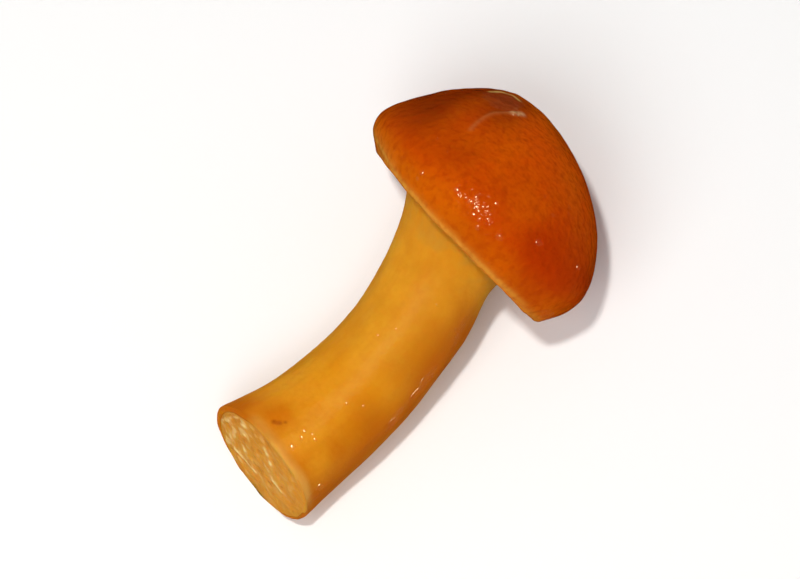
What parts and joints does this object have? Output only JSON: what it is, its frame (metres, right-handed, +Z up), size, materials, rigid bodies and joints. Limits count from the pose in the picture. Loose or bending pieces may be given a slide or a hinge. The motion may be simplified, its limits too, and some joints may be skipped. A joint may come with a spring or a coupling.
{
  "type": "nameko mushroom",
  "caption": "Small cooked mushroom lying on its side as cut: domed glossy cap, ring of gills, waisted curved stem, oblique cut foot.",
  "frame": {"origin": "on the floor, at the centre of the mushroom's box", "axes": "+X from the cut foot to the cap, +Z up, +Y to the mushroom's left"},
  "size_m": [0.0354, 0.0212, 0.02],
  "materials": {
    "cap_skin": "wet, gelatinous orange-brown skin, glossy",
    "stem_skin": "wet golden stem, smooth, slightly translucent",
    "gill_flesh": "damp ochre gills",
    "cut_flesh": "pale wet cut flesh, fibrous",
    "slime": "clear amber gel film and droplets"
  },
  "bodies": {
    "root": {"nameko_mushroom": "cap_skin"}
  },
  "joints": []
}
